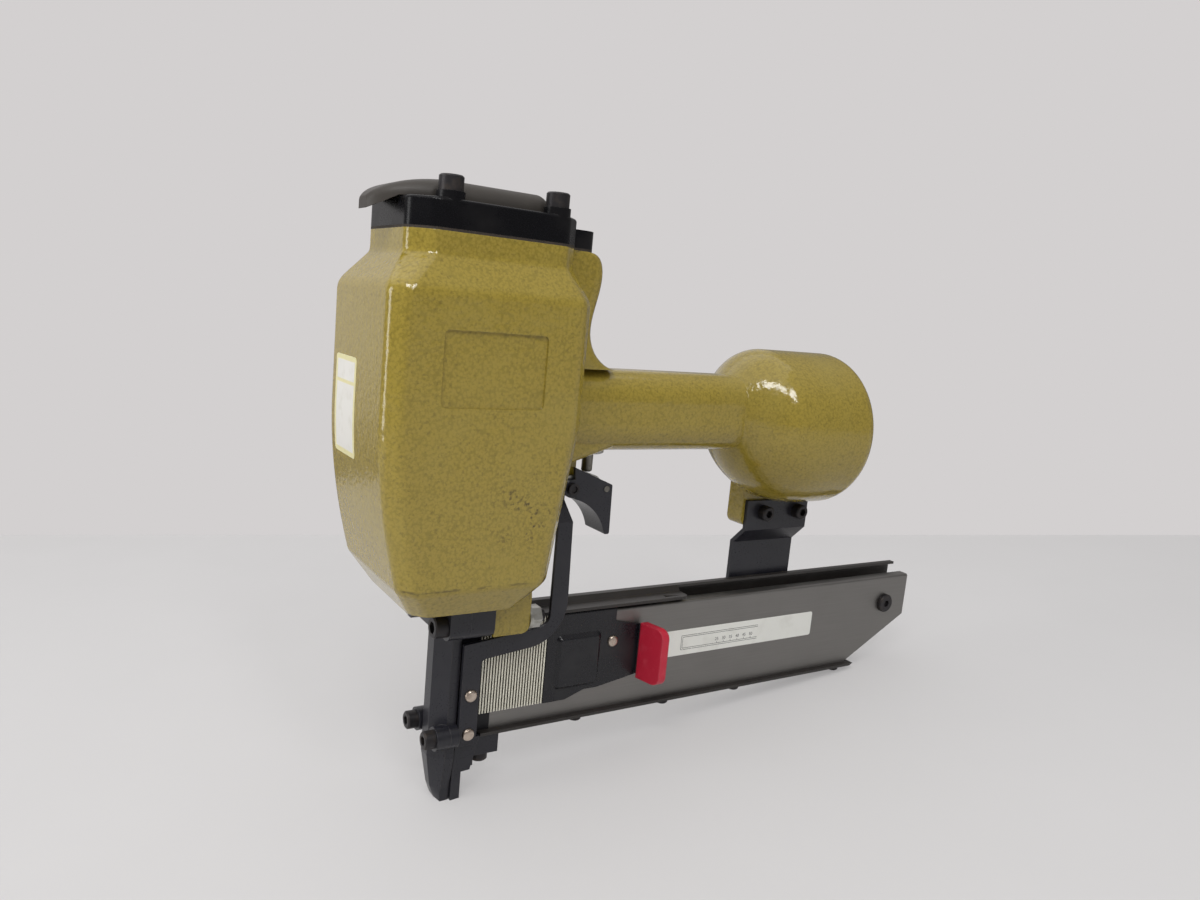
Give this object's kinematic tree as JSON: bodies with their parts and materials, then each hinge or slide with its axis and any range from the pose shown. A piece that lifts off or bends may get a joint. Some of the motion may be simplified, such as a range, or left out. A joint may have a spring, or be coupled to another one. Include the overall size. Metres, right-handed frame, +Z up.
{
  "type": "pneumatic stapler",
  "caption": "Air driven stapler with an upright cylinder body, side handle with round air end, trigger, contact safety foot and long rear magazine.",
  "frame": {"origin": "middle of the staple exit at the nose tip, on the driver line", "axes": "+X to the rear along the magazine, +Y to the far side of the magazine, +Z up the driver line"},
  "size_m": [0.3658, 0.0846, 0.2792],
  "materials": {
    "olive_paint": "hammered gloss enamel",
    "black_paint": "satin black",
    "black_screw": "black oxide",
    "hood_grey": "satin grey",
    "gasket_card": "pressed card",
    "rail_steel": "brushed",
    "roof_black": "satin black",
    "staple_wire": "drawn and glued",
    "red_vinyl": "smooth",
    "rivet_nickel": "nickel plated",
    "zinc": "zinc plated",
    "rubber": "matte",
    "aluminium": "machined",
    "spring_steel": "bright",
    "tool_steel": "ground"
  },
  "bodies": {
    "frame": {"housing": "olive_paint", "cap_gasket": "gasket_card", "cylinder_cap": "black_paint", "cap_bolts": "black_screw", "rear_cap_bolt": "zinc", "exhaust_hood": "hood_grey", "hood_screw": "black_screw", "cylinder_sleeve": "aluminium", "sleeve_seals": "rubber", "bumper": "rubber", "head_valve_spring": "spring_steel", "trigger_valve_body": "aluminium", "valve_spring": "spring_steel", "trigger_pin": "black_screw", "nose_front_plate": "black_paint", "driver_guide_plate": "black_paint", "nose_rear_guide": "black_paint", "nose_lower_bolts": "black_screw", "nose_flange_bolts": "black_screw", "flange_washers": "zinc", "flange_nuts": "zinc", "arm_spring": "spring_steel", "magazine_frame": "roof_black", "magazine_core": "rail_steel", "core_spacers": "rail_steel", "core_bolts": "black_screw", "core_front_screw": "black_screw", "core_rear_screw": "black_screw", "core_rear_sleeve": "zinc", "core_rear_nut": "zinc", "staple_strip": "staple_wire", "rear_bracket": "black_paint", "bracket_rivets": "black_screw", "bracket_bolts": "black_screw", "bracket_nuts": "zinc", "end_cap": "black_paint", "end_cap_seal": "rubber", "retaining_ring": "spring_steel"},
    "driver": {"piston": "aluminium", "piston_ring": "rubber", "driver_blade": "tool_steel", "blade_pin": "tool_steel"},
    "head_valve": {"head_valve": "aluminium", "head_valve_seal": "rubber"},
    "valve_stem": {"valve_stem": "tool_steel"},
    "trigger": {"trigger": "black_paint", "dog_pin": "black_screw"},
    "dog": {"dog_lever": "black_screw"},
    "contact": {"contact_arm": "black_paint", "contact_foot": "black_paint", "arm_rivets": "rivet_nickel"},
    "pusher": {"pusher": "black_paint", "pusher_grip": "red_vinyl", "pusher_rivet": "rivet_nickel", "pusher_spring": "spring_steel"}
  },
  "joints": [
    {"name": "driver_stroke", "type": "slide", "parent": "frame", "child": "driver", "axis": [0, 0, -1], "range_m": [0, 0.0846]},
    {"name": "head_valve_lift", "type": "slide", "parent": "frame", "child": "head_valve", "axis": [0, 0, 1], "range_m": [0, 0.005], "stiffness_N_per_m": 1500, "springref_m": -0.004, "deforming": ["head_valve_spring"]},
    {"name": "trigger_pull", "type": "hinge", "parent": "frame", "child": "trigger", "pos_m": [0.0536, 0, 0.1477], "axis": [0, -1, 0], "range_deg": [0, 12], "stiffness_Nm_per_rad": 0.06, "springref_deg": -5.73},
    {"name": "stem_push", "type": "slide", "parent": "frame", "child": "valve_stem", "axis": [0, 0, 1], "range_m": [0, 0.0021], "deforming": ["valve_spring"]},
    {"name": "contact_slide", "type": "slide", "parent": "frame", "child": "contact", "axis": [0, 0, -1], "range_m": [0, 0.008], "stiffness_N_per_m": 400, "springref_m": 0.01, "deforming": ["arm_spring"]},
    {"name": "dog_swing", "type": "hinge", "parent": "trigger", "child": "dog", "pos_m": [0.0729, 0, 0.1472], "axis": [0, -1, 0], "range_deg": [0, 4.55]},
    {"name": "pusher_slide", "type": "slide", "parent": "frame", "child": "pusher", "axis": [1, 0, 0], "range_m": [0, 0.165], "stiffness_N_per_m": 10, "springref_m": -0.5}
  ],
  "couplings": [
    {"joint": "trigger_pull", "follows": "stem_push", "rad_per_m": 99.7},
    {"joint": "dog_swing", "follows": "contact_slide", "rad_per_m": 9.817}
  ]
}
